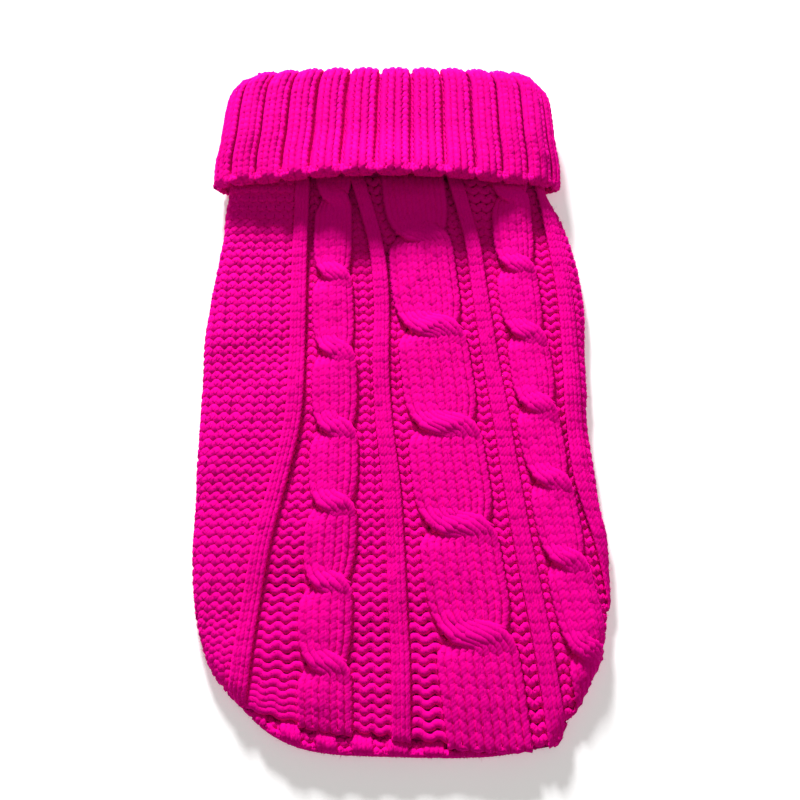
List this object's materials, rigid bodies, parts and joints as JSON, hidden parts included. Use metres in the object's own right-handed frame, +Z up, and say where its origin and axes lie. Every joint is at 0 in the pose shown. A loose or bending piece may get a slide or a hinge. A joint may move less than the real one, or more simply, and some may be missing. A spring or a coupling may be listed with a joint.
{
  "type": "dog sweater",
  "caption": "Small dog's cable-knit sweater laid flat, back up, with a turned-down ribbed collar, raised cables, oval leg openings underneath and a ribbed waist band.",
  "frame": {"origin": "centre of the bounding box, on the surface that the sweater lies on", "axes": "+Y from the waist to the collar, +Z up from the surface through the belly and out of the back, +X to the right of the picture"},
  "size_m": [0.1684, 0.3025, 0.0218],
  "materials": {
    "cable_knit": "matte, soft acrylic knit, hot pink",
    "purl_knit": "matte, soft acrylic knit, hot pink",
    "rib_knit": "matte, soft acrylic rib, hot pink"
  },
  "bodies": {
    "root": {"back_panel": "cable_knit", "belly_panel": "purl_knit", "collar": "rib_knit", "hem_band": "rib_knit", "leg_band_left": "rib_knit", "leg_band_right": "rib_knit"}
  },
  "joints": []
}
